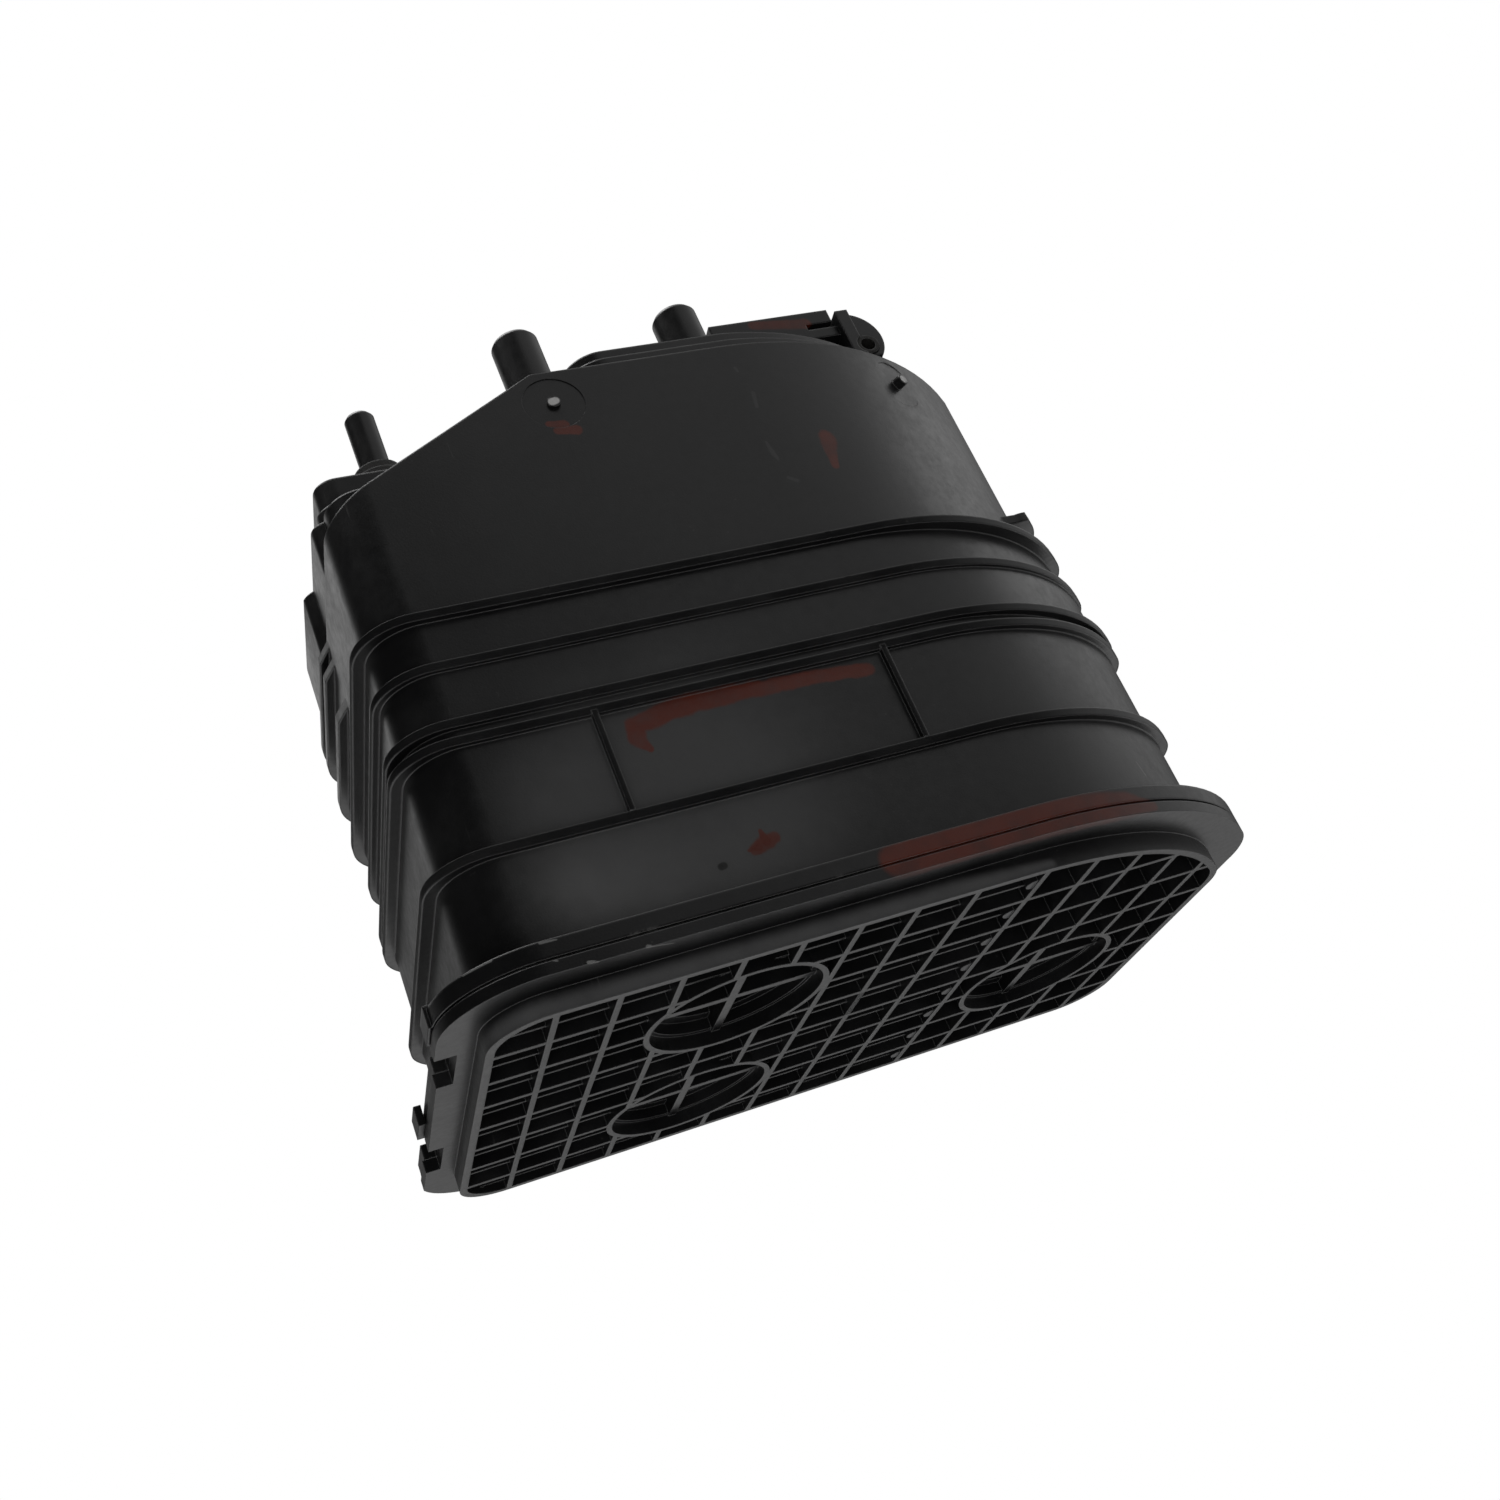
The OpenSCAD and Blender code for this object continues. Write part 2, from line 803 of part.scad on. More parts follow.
module vent_plate() {
    color([0.2, 0.2, 0.2])
        difference() {
            layer(plate_z, plate_t)
                vent_plan(0);
            for (x = [46 : 12 : 82])
                for (y = [-8, 26])
                    box(x - 2, y - 12, plate_z - 1, x + 2, y + 12, low_pad_z + 1);
        }
}

// coil spring made of half turns, standing on the cover floor
module coil(p) {
    turns = 3;
    rise = (spring_h - 2 * wire_r) / turns;
    tilt = asin(rise / 4 / coil_r);
    color([0.6, 0.6, 0.62])
        translate([p[0], p[1], floor_z + wire_r]) {
            for (k = [0 : turns - 1]) {
                translate([0, 0, k * rise + rise / 4])
                    rotate([0, tilt, 0])
                        half_ring();
                translate([0, 0, k * rise + 3 * rise / 4])
                    rotate([0, -tilt, 0])
                        mirror([0, 1, 0])
                            half_ring();
            }
        }
}

module half_ring() {
    rotate_extrude(angle = 180, $fn = 32)
        translate([coil_r, 0])
            circle(wire_r, $fn = 8);
}

module spring_front() {
    coil(well_places()[0]);
}

module spring_back() {
    coil(well_places()[1]);
}

module spring_right() {
    coil(well_places()[2]);
}

housing();
bottom_cover();
top_cap();
arm_clip();
clip_ring();
purge_collar();
main_carbon();
vent_carbon();
main_upper_pad();
main_lower_pad();
vent_upper_pad();
vent_lower_pad();
main_plate();
vent_plate();
spring_front();
spring_back();
spring_right();
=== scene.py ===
import math

import bpy
from mathutils import Matrix, Vector


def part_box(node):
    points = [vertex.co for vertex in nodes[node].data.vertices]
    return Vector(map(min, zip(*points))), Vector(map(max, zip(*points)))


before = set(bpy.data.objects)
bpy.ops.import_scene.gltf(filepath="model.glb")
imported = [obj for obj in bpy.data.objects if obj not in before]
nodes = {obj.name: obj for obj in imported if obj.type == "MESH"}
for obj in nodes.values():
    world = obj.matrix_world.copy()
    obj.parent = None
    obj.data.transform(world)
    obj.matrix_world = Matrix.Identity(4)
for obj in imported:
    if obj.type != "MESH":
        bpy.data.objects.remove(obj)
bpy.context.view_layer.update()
MM = 0.001


# Housing: the main shell of the canister, one injection moulding in black polyamide with
# raised belts, a weld flange, two hooks and two hose nipples. It has been in service:
# red-brown fluid has run and dried on its front, and the flange is scuffed.
SHELL_BLACK = (0.0022, 0.0022, 0.0023, 1)
SHELL_FADED = (0.0044, 0.0044, 0.0045, 1)
STAIN_BROWN = (0.0345, 0.0056, 0.0024, 1)
SCUFF_GREY = (0.034, 0.034, 0.033, 1)
NICK_PALE = (0.065, 0.065, 0.064, 1)
# pale edges: partly rubbed wear, partly a painted highlight along the rounded edges
EDGE_PALE_AND_HIGHLIGHT = (0.050, 0.050, 0.050, 1)
SHELL_ROUGHNESS = 0.34
SCUFF_DULLING = 0.20
HIGHLIGHT_DULLING = 0.10
STAIN_DULLING = 0.08
PLASTIC_IOR = 1.5
SHELL_EDGE = 0.80 * MM
EDGE_WEAR_AND_HIGHLIGHT_WIDTH = 0.34 * MM
EDGE_WEAR_AND_HIGHLIGHT_SHARE = 0.8
GRAIN_STRENGTH = 0.35
GRAIN_DEPTH = 0.12 * MM
SEAM_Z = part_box("housing")[0].z

# dried runs on the front: chains of points in millimetres, each with the half width there
SHELL_RUNS = (
    ((-36.8, -64.4, 147.8, 1.0), (-33.2, -64.4, 147.0, 1.4)),
    ((-35.4, -64.4, 145.2, 1.2), (-30.8, -64.4, 144.6, 1.6)),
    ((33.2, -62.8, 130.0, 2.6), (32.1, -62.8, 125.4, 2.0), (31.4, -62.8, 121.2, 1.2)),
    ((-44.2, -65.2, 53.2, 0.9), (-46.2, -65.2, 56.4, 2.2), (-45.2, -65.2, 59.8, 2.6),
     (-37.2, -65.2, 61.4, 2.8), (-28.9, -65.2, 62.0, 2.6), (-12.0, -65.2, 61.8, 2.1),
     (4.7, -65.2, 61.2, 1.9), (13.4, -64.9, 60.3, 1.9)),
    ((-30.4, -65.6, 23.3, 1.5), (-27.1, -65.6, 24.4, 2.0), (-25.5, -65.6, 24.9, 1.5)),
    ((-27.4, -65.6, 24.4, 1.3), (-27.8, -65.6, 27.2, 0.5)),
    ((-29.6, -65.6, 23.6, 1.0), (-32.0, -65.6, 23.4, 0.4)),
)
FLANGE_RUN = ((-5.0, -75.0, 8.7, 4.3), (24.0, -75.0, 8.7, 4.3), (45.0, -73.6, 8.5, 4.1),
              (56.0, -71.0, 8.0, 3.2), (63.0, -68.4, 6.8, 1.7))

# faces that lean, of the belts and of the two upright ribs on the front: the axis along
# which each leans, from, to, slope, and the axis and range in which it does
ALONG_X, ALONG_Y, ALONG_Z = range(3)
BELT_LOWS = (36.6, 64.2, 68.9, 83.9, 97.4)
BELT_HEIGHT = 2.2
BELT_SLOPE = 0.42
BELT_RANGE = (0, 200)
RIB_SIDES = ((-54.3, -52.9), (18.3, 19.7))
RIB_SLOPE = 0.30
RIB_RANGE = (-67.5, -65.9)
LEANING_FACES = tuple(
    (ALONG_Z, low, low + BELT_HEIGHT, BELT_SLOPE, ALONG_Z, *BELT_RANGE) for low in BELT_LOWS
) + tuple((ALONG_X, *sides, RIB_SLOPE, ALONG_Y, *RIB_RANGE) for sides in RIB_SIDES)

# painted highlight low on the front, standing in for a soft light's reflection on the wall: each
# stretch with its colour and the front of the wall it lies on, so that belts and ribs stay clear of
# it
LOW_WALL_HIGHLIGHT = (0.0420, 0.0420, 0.0422, 1)
PANEL_HIGHLIGHT = (0.0185, 0.0185, 0.0187, 1)
WALL_FRONT = -65.85
FRONT_HIGHLIGHT_PATCHES = (
    (((-66.0, -65.6, 24.0, 18.0), (-56.0, -65.6, 24.0, 30.0), (-46.0, -65.6, 24.0, 40.0)),
     LOW_WALL_HIGHLIGHT, WALL_FRONT),
    (((-66.0, -65.2, 48.0, 20.0), (-50.0, -65.2, 46.0, 34.0), (-38.0, -65.2, 44.0, 44.0)),
     PANEL_HIGHLIGHT, WALL_FRONT),
)
HIGHLIGHT_RAGGED = 0.15
HIGHLIGHT_CORE = 0.1
HIGHLIGHT_MOTTLE = 0.2

# small marks: nicks and flash on the flange, smudges on the crown, a dark dot, gate stubs
NICKS = (
    ((-63.6, -74.9, 5.1, 0.5), (-62.6, -74.6, 5.1, 0.3), (-57.7, -73.1, 5.0, 0.15)),
    ((-99.5, -68.5, 12.2, 0.25), (-96.8, -70.8, 12.2, 0.30), (-94.0, -72.4, 12.1, 0.25)),
    ((-84.2, -74.9, 12.0, 0.3), (-80.8, -75.0, 11.8, 0.2)),
    ((-84.1, -74.6, 8.2, 0.25), (-82.0, -75.0, 7.4, 0.2)),
    ((-76.2, -75.0, 5.3, 0.4), (-74.2, -74.6, 5.1, 0.3)),
    ((76.0, -52.9, 24.7, 0.2), (77.1, -52.3, 20.7, 0.25)),
)
SMUDGE_GREY = (0.0120, 0.0120, 0.0121, 1)
SMUDGES = (
    ((16.7, -64.3, 156.1, 0.5), (17.0, -64.3, 155.0, 0.4)),
    ((18.4, -64.2, 147.2, 0.6), (17.6, -64.2, 142.5, 0.5)),
    ((15.6, -64.2, 131.0, 0.4), (16.0, -64.2, 127.3, 0.8), (16.6, -64.2, 125.0, 0.4)),
    ((16.9, -64.2, 119.0, 0.5), (18.9, -64.2, 117.6, 0.6)),
)
DARK_DOT = ((-39.3, -65.6, 21.4, 0.9), (-38.7, -65.6, 21.5, 0.9))
GATE_TIPS = (((-34.1, -65.1, 153.9, 1.2), (-33.2, -65.1, 154.1, 1.1)),
             ((69.6, -51.6, 153.7, 1.2), (70.2, -51.3, 154.1, 1.2)))
GATE_PALE = (0.210, 0.208, 0.205, 1)
GATE_DISCS = (((-34.0, -64.6, 154.0, 10.5), (-33.0, -64.6, 154.0, 10.5)),)
DOT_BLACK = (0.0015, 0.0015, 0.0015, 1)


def node_in(tree, kind, inputs=None, **settings):
    """A new node with its settings and the values of its sockets."""
    node = tree.nodes.new(kind)
    for name, value in settings.items():
        setattr(node, name, value)
    for socket, value in (inputs or {}).items():
        if isinstance(value, bpy.types.NodeSocket):
            tree.links.new(value, node.inputs[socket])
        else:
            node.inputs[socket].default_value = value
    return node


def new_group(name, inputs, outputs):
    """An empty shader node group with named sockets: (tree, its inputs, its output node)."""
    tree = bpy.data.node_groups.new(name, "ShaderNodeTree")
    for label, kind, value in inputs:
        socket = tree.interface.new_socket(label, in_out="INPUT", socket_type=kind)
        socket.default_value = value
    for label, kind in outputs:
        tree.interface.new_socket(label, in_out="OUTPUT", socket_type=kind)
    given = tree.nodes.new("NodeGroupInput").outputs
    return tree, given, tree.nodes.new("NodeGroupOutput")


def math_in(tree, operation, a, b=0.0, clamp=False):
    node = node_in(tree, "ShaderNodeMath", {0: a, 1: b}, operation=operation, use_clamp=clamp)
    return node.outputs[0]


def vector_in(tree, operation, a, b=(0, 0, 0), output=0):
    node = node_in(tree, "ShaderNodeVectorMath", {0: a, 1: b}, operation=operation)
    return node.outputs["Value"] if output else node.outputs[0]


def noise_in(tree, place, scale, detail=3.0, rough=0.55):
    made = node_in(tree, "ShaderNodeTexNoise", {"Vector": place, "Scale": scale, "Detail": detail,
                                                "Roughness": rough})
    return made.outputs["Fac"]


def ramp_in(tree, value, low, high, to_low=0.0, to_high=1.0):
    made = node_in(tree, "ShaderNodeMapRange", {"Value": value, "From Min": low, "From Max": high,
                                                "To Min": to_low, "To Max": to_high},
                   interpolation_type="SMOOTHSTEP")
    return made.outputs["Result"]


def make_moulding_grain():
    """Surface of a moulding: fine grain, slow waves of the wall and cloudy fading."""
    tree, given, out = new_group(
        "moulding_grain",
        (("Grain", "NodeSocketFloat", 0.5), ("Waves", "NodeSocketFloat", 0.5)),
        (("Height", "NodeSocketFloat"), ("Fading", "NodeSocketFloat"),
         ("Sheen", "NodeSocketFloat")))
    place = node_in(tree, "ShaderNodeTexCoord").outputs["Object"]
    grain = math_in(tree, "MULTIPLY", noise_in(tree, place, 2200, 2), given["Grain"])
    waves = math_in(tree, "MULTIPLY", noise_in(tree, place, 34, 1), given["Waves"])
    tree.links.new(math_in(tree, "ADD", grain, waves), out.inputs["Height"])
    clouds = noise_in(tree, place, 46, 6, 0.62)
    tree.links.new(ramp_in(tree, clouds, 0.34, 0.74), out.inputs["Fading"])
    specks = noise_in(tree, place, 420, 5, 0.7)
    tree.links.new(ramp_in(tree, math_in(tree, "ADD", clouds, specks), 0.7, 1.3, -0.05, 0.07),
                   out.inputs["Sheen"])
    return tree


def make_band_mask():
    """Mask of one stretch of a band, for dried runs, small marks and painted highlight patches: a
    rounded band from one point to the next, ragged.
    """
    tree, given, out = new_group(
        "band_mask",
        (("From", "NodeSocketVector", (0, 0, 0)), ("To", "NodeSocketVector", (0, 0, 0)),
         ("From Width", "NodeSocketFloat", 0.002), ("To Width", "NodeSocketFloat", 0.002),
         ("Ragged", "NodeSocketFloat", 0.5), ("Core", "NodeSocketFloat", 0.72),
         ("Mottle", "NodeSocketFloat", 0.38)),
        (("Mask", "NodeSocketFloat"),))
    place = node_in(tree, "ShaderNodeTexCoord").outputs["Object"]
    along = vector_in(tree, "SUBTRACT", given["To"], given["From"])
    offset = vector_in(tree, "SUBTRACT", place, given["From"])
    length_2 = math_in(tree, "MAXIMUM", vector_in(tree, "DOT_PRODUCT", along, along, 1), 1e-9)
    part = math_in(tree, "DIVIDE", vector_in(tree, "DOT_PRODUCT", offset, along, 1), length_2, True)
    nearest = node_in(tree, "ShaderNodeVectorMath", {0: along, "Scale": part}, operation="SCALE")
    away = node_in(tree, "ShaderNodeVectorMath",
                   {0: vector_in(tree, "SUBTRACT", offset, nearest.outputs[0])}, operation="LENGTH")
    widening = math_in(tree, "SUBTRACT", given["To Width"], given["From Width"])
    width = math_in(tree, "ADD", given["From Width"], math_in(tree, "MULTIPLY", widening, part))
    uneven = math_in(tree, "SUBTRACT", noise_in(tree, place, 260, 4), 0.5)
    ragged = math_in(tree, "MULTIPLY", uneven, given["Ragged"])
    share = math_in(tree, "ADD", math_in(tree, "DIVIDE", away.outputs["Value"], width), ragged)
    edge = ramp_in(tree, share, given["Core"], 1.16, 1.0, 0.0)
    bare = ramp_in(tree, noise_in(tree, place, 150, 5, 0.6), 0.25, 0.62, 1.0, 0.0)
    streaks = math_in(tree, "SUBTRACT", 1.0, math_in(tree, "MULTIPLY", bare, given["Mottle"]))
    tree.links.new(math_in(tree, "MULTIPLY", edge, streaks), out.inputs["Mask"])
    return tree


def make_leaning_face():
    """Height of a face that leans: it rises steadily from one coordinate to another."""
    tree, given, out = new_group(
        "leaning_face",
        (("Place", "NodeSocketFloat", 0.0), ("Low", "NodeSocketFloat", 0.0),
         ("High", "NodeSocketFloat", 0.001), ("Slope", "NodeSocketFloat", 0.4),
         ("Within", "NodeSocketFloat", 0.0), ("From", "NodeSocketFloat", 0.0),
         ("To", "NodeSocketFloat", 1.0)),
        (("Height", "NodeSocketFloat"),))
    above = math_in(tree, "MAXIMUM", given["Place"], given["Low"])
    risen = math_in(tree, "SUBTRACT", math_in(tree, "MINIMUM", above, given["High"]), given["Low"])
    height = math_in(tree, "MULTIPLY", risen, given["Slope"])
    after = math_in(tree, "GREATER_THAN", given["Within"], given["From"])
    before = math_in(tree, "LESS_THAN", given["Within"], given["To"])
    between = math_in(tree, "MULTIPLY", after, before)
    tree.links.new(math_in(tree, "MULTIPLY", height, between), out.inputs["Height"])
    return tree


def make_scuffs():
    """Mask of handling marks: short fine scratches in two directions, in patches."""
    tree, given, out = new_group(
        "scuffs", (("Amount", "NodeSocketFloat", 0.5),), (("Mask", "NodeSocketFloat"),))
    place = node_in(tree, "ShaderNodeTexCoord").outputs["Object"]
    fields = []
    for turn, size in (((0.3, 0.5, 0.2), (900, 60, 900)), ((0.9, 0.1, 1.1), (1100, 1100, 75))):
        turned = node_in(tree, "ShaderNodeMapping",
                         {"Vector": place, "Rotation": turn, "Scale": size})
        fine = noise_in(tree, turned.outputs["Vector"], 1.0, 2)
        fields.append(ramp_in(tree, fine, 0.69, 0.76))
    lines = math_in(tree, "MAXIMUM", fields[0], fields[1])
    where = ramp_in(tree, noise_in(tree, place, 38, 4), 0.50, 0.70)
    marks = math_in(tree, "MULTIPLY", math_in(tree, "MULTIPLY", lines, where), given["Amount"])
    tree.links.new(marks, out.inputs["Mask"])
    return tree


def make_seam_flash():
    """Mask of pale weld flash: broken flecks along one height."""
    tree, given, out = new_group(
        "seam_flash",
        (("Seam Height", "NodeSocketFloat", 0.0), ("Reach", "NodeSocketFloat", 0.0008),
         ("Amount", "NodeSocketFloat", 0.5)),
        (("Mask", "NodeSocketFloat"),))
    place = node_in(tree, "ShaderNodeTexCoord").outputs["Object"]
    height = node_in(tree, "ShaderNodeSeparateXYZ", {0: place}).outputs["Z"]
    away = math_in(tree, "ABSOLUTE", math_in(tree, "SUBTRACT", height, given["Seam Height"]))
    near = ramp_in(tree, math_in(tree, "DIVIDE", away, given["Reach"]), 0.3, 1.0, 1.0, 0.0)
    flecks = ramp_in(tree, noise_in(tree, place, 130, 6, 0.72), 0.56, 0.68)
    mask = math_in(tree, "MULTIPLY", math_in(tree, "MULTIPLY", near, flecks), given["Amount"])
    tree.links.new(mask, out.inputs["Mask"])
    return tree


moulding_grain = make_moulding_grain()
band_mask = make_band_mask()
leaning_face = make_leaning_face()
scuffs = make_scuffs()
seam_flash = make_seam_flash()


def new_material(name):
    """An empty material: (material, its tree, its Principled shader)."""
    made = bpy.data.materials.new(name)
    made.use_nodes = True
    tree = made.node_tree
    tree.nodes.clear()
    shader = tree.nodes.new("ShaderNodeBsdfPrincipled")
    finish = tree.nodes.new("ShaderNodeOutputMaterial")
    tree.links.new(shader.outputs["BSDF"], finish.inputs["Surface"])
    return made, tree, shader


def group_in(tree, group, inputs):
    return node_in(tree, "ShaderNodeGroup", inputs, node_tree=group)


def mix_in(tree, factor, below, above):
    """Colour of below, covered by above where factor is 1."""
    mixed = node_in(tree, "ShaderNodeMix", {0: factor, 6: below, 7: above}, data_type="RGBA")
    return mixed.outputs[2]


def chain_mask(tree, chain, ragged, core=0.72, mottle=0.38):
    """One mask for a chain of points: the strongest of its stretches."""
    mask = None
    for first, second in zip(chain, chain[1:]):
        stretch = group_in(tree, band_mask, {
            "From": [v * MM for v in first[:3]], "To": [v * MM for v in second[:3]],
            "From Width": first[3] * MM, "To Width": second[3] * MM, "Ragged": ragged,
            "Core": core, "Mottle": mottle})
        here = stretch.outputs["Mask"]
        mask = here if mask is None else math_in(tree, "MAXIMUM", mask, here)
    return mask


def leaning(tree, faces):
    """Height of all leaning faces together, in metres."""
    place = node_in(tree, "ShaderNodeTexCoord").outputs["Object"]
    axes = node_in(tree, "ShaderNodeSeparateXYZ", {0: place}).outputs
    total = 0.0
    for axis, low, high, slope, within, start, end in faces:
        face = group_in(tree, leaning_face, {
            "Place": axes[axis], "Low": low * MM, "High": high * MM, "Slope": slope,
            "Within": axes[within], "From": start * MM, "To": end * MM})
        total = math_in(tree, "ADD", face.outputs["Height"], total)
    return total


def black_moulding(name, dark, faded, roughness, grain=0.5, waves=0.5, runs=(), spots=(),
                   highlight_patches=(), leans=(), calm=(), scuffed=0.4, flash_at=None, flash=0.0,
                   edge=SHELL_EDGE):
    """Material of a black moulded piece with the wear of its own part of the canister, painted
    highlights along its edges and on any given patches.
    """
    made, tree, shader = new_material(name)
    surface = group_in(tree, moulding_grain, {"Grain": grain, "Waves": waves})
    colour = mix_in(tree, surface.outputs["Fading"], dark, faded)
    rough = math_in(tree, "ADD", surface.outputs["Sheen"], roughness)
    marks = group_in(tree, scuffs, {"Amount": scuffed}).outputs["Mask"]
    colour = mix_in(tree, marks, colour, SCUFF_GREY)
    rough = math_in(tree, "ADD", rough, math_in(tree, "MULTIPLY", marks, SCUFF_DULLING))
    if flash_at is not None:
        flecks = group_in(tree, seam_flash, {"Seam Height": flash_at, "Amount": flash})
        colour = mix_in(tree, flecks.outputs["Mask"], colour, SCUFF_GREY)
    # painted highlight patches: a paler colour and a duller finish over each given stretch, where a
    # soft light's reflection should be
    for chain, patch_tone, front in highlight_patches:
        place = node_in(tree, "ShaderNodeTexCoord").outputs["Object"]
        depth = node_in(tree, "ShaderNodeSeparateXYZ", {0: place}).outputs["Y"]
        on_wall = math_in(tree, "GREATER_THAN", depth, front * MM)
        patch_spread = chain_mask(tree, chain, HIGHLIGHT_RAGGED, HIGHLIGHT_CORE, HIGHLIGHT_MOTTLE)
        highlighted = math_in(tree, "MULTIPLY", patch_spread, on_wall)
        colour = mix_in(tree, highlighted, colour, patch_tone)
        rough = math_in(tree, "ADD", rough, math_in(tree, "MULTIPLY", highlighted, HIGHLIGHT_DULLING))
    for chain, tone in spots:
        colour = mix_in(tree, chain_mask(tree, chain, 0.4), colour, tone)
    for chain, ragged in runs:
        stain = chain_mask(tree, chain, ragged)
        colour = mix_in(tree, stain, colour, STAIN_BROWN)
        rough = math_in(tree, "ADD", rough, math_in(tree, "MULTIPLY", stain, STAIN_DULLING))
    sharp = 1.0
    for chain in calm:
        sharp = math_in(tree, "SUBTRACT", sharp, chain_mask(tree, chain, 0.0), True)
    rounding = math_in(tree, "MULTIPLY", sharp, edge)
    edges = node_in(tree, "ShaderNodeBevel", {"Radius": rounding}, samples=8)
    # paler edges, where the small bevel bends the normal: partly rubbed wear, partly painted
    # highlight
    wear_and_highlight_width = math_in(tree, "MULTIPLY", sharp, EDGE_WEAR_AND_HIGHLIGHT_WIDTH)
    corner = node_in(tree, "ShaderNodeBevel", {"Radius": wear_and_highlight_width}, samples=4)
    flat = node_in(tree, "ShaderNodeNewGeometry").outputs["Normal"]
    bent = vector_in(tree, "DOT_PRODUCT", corner.outputs["Normal"], flat, 1)
    at_edge = ramp_in(tree, bent, 0.80, 0.97, 1.0, 0.0)
    wear_and_highlight = math_in(tree, "MULTIPLY", at_edge, EDGE_WEAR_AND_HIGHLIGHT_SHARE)
    colour = mix_in(tree, wear_and_highlight, colour, EDGE_PALE_AND_HIGHLIGHT)
    shape = edges.outputs["Normal"]
    if leans:
        shape = node_in(tree, "ShaderNodeBump", {"Strength": 1.0, "Distance": 1.0, "Normal": shape,
                                                 "Height": leaning(tree, leans)}).outputs["Normal"]
    bump = node_in(tree, "ShaderNodeBump", {"Strength": GRAIN_STRENGTH, "Distance": GRAIN_DEPTH,
                                            "Height": surface.outputs["Height"],
                                            "Normal": shape})
    tree.links.new(colour, shader.inputs["Base Color"])
    tree.links.new(rough, shader.inputs["Roughness"])
    tree.links.new(bump.outputs["Normal"], shader.inputs["Normal"])
    shader.inputs["IOR"].default_value = PLASTIC_IOR
    return made


def make_soft_shading():
    """Geometry nodes that join the faces of a CAD mesh and shade its curves smooth."""
    tree = bpy.data.node_groups.new("soft_shading", "GeometryNodeTree")
    tree.interface.new_socket("Geometry", in_out="INPUT", socket_type="NodeSocketGeometry")
    tree.interface.new_socket("Geometry", in_out="OUTPUT", socket_type="NodeSocketGeometry")
    source = tree.nodes.new("NodeGroupInput")
    joined = node_in(tree, "GeometryNodeMergeByDistance", {"Geometry": source.outputs[0],
                                                           "Distance": 0.002 * MM})
    smooth = node_in(tree, "GeometryNodeSetShadeSmooth", {"Geometry": joined.outputs[0]},
                     domain="FACE")
    angle = tree.nodes.new("GeometryNodeInputMeshEdgeAngle")
    sharp = node_in(tree, "FunctionNodeCompare", {0: angle.outputs[0], 1: math.radians(24)},
                    operation="GREATER_THAN")
    creased = node_in(tree, "GeometryNodeSetShadeSmooth",
                      {"Geometry": smooth.outputs[0], "Selection": sharp.outputs[0],
                       "Shade Smooth": False}, domain="EDGE")
    tree.links.new(creased.outputs[0], tree.nodes.new("NodeGroupOutput").inputs[0])
    return tree


soft_shading = make_soft_shading()


def finish_node(name, made):
    """Gives a CAD node its material and smooth shading on its curves."""
    piece = nodes[name]
    piece.data.materials.clear()
    piece.data.materials.append(made)
    piece.modifiers.new("soft_shading", "NODES").node_group = soft_shading


finish_node("housing", black_moulding(
    "housing_plastic", SHELL_BLACK, SHELL_FADED, SHELL_ROUGHNESS,
    runs=[(chain, 0.8) for chain in SHELL_RUNS] + [(FLANGE_RUN, 0.25)],
    spots=[(DARK_DOT, DOT_BLACK)] + [(tip, GATE_PALE) for tip in GATE_TIPS]
    + [(nick, NICK_PALE) for nick in NICKS] + [(smudge, SMUDGE_GREY) for smudge in SMUDGES],
    highlight_patches=FRONT_HIGHLIGHT_PATCHES, leans=LEANING_FACES, calm=GATE_DISCS, flash_at=SEAM_Z, flash=0.7))


# Bottom cover: a second moulding of the same plastic, a grid of ribs with round spring
# wells, hot-plate welded to the flange of the housing. Its edges, the rib ends among them, are
# paler, partly rubbed wear and partly painted highlight, and a painted highlight band runs along
# its lower rim.
COVER_BLACK = (0.0020, 0.0020, 0.0021, 1)
COVER_FADED = (0.0046, 0.0046, 0.0048, 1)
COVER_EDGE = 0.35 * MM
# painted highlight band along the lower rim of the cover, on its front and its left end
RIM_HIGHLIGHT_GREY = (0.0320, 0.0320, 0.0322, 1)
RIM_HIGHLIGHT_BAND = ((-97.5, 52.0, 1.2, 2.0), (-97.5, -50.0, 1.4, 2.6), (-94.6, -60.0, 1.4, 2.8),
           (-88.0, -65.2, 1.5, 3.0), (-78.0, -66.0, 1.5, 3.0), (10.0, -66.0, 1.5, 2.8),
           (34.0, -65.4, 1.2, 1.6))
RIM_FRONT = -90.0
finish_node("bottom_cover", black_moulding(
    "cover_plastic", COVER_BLACK, COVER_FADED, 0.36, grain=0.6, runs=[(FLANGE_RUN, 0.25)],
    spots=[(nick, NICK_PALE) for nick in NICKS], highlight_patches=[(RIM_HIGHLIGHT_BAND, RIM_HIGHLIGHT_GREY, RIM_FRONT)],
    scuffed=0.55, flash_at=SEAM_Z, flash=0.8, edge=COVER_EDGE))


# Top cap: a small moulded lid welded on the roof over the vent chamber. The vent nipple
# and the arm that carries the clip are moulded in one piece with it; the arm is stained.
ARM_FRONT_Y = -34.5
ARM_RUN = ((44.0, ARM_FRONT_Y, 195.2, 1.6), (60.0, ARM_FRONT_Y, 193.0, 2.0))
CAP_SEAM_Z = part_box("top_cap")[0].z
finish_node("top_cap", black_moulding(
    "cap_plastic", SHELL_BLACK, SHELL_FADED, SHELL_ROUGHNESS, runs=[(ARM_RUN, 0.4)],
    flash_at=CAP_SEAM_Z, flash=0.4))


# Clip: a plate with a round eye, moulded apart and latched on the tongue of the arm. It is
# smoother than the shell and a little blacker.
CLIP_BLACK = (0.0030, 0.0030, 0.0031, 1)
CLIP_FADED = (0.0055, 0.0055, 0.0057, 1)
finish_node("arm_clip", black_moulding("clip_plastic", CLIP_BLACK, CLIP_FADED, 0.30, grain=0.3))


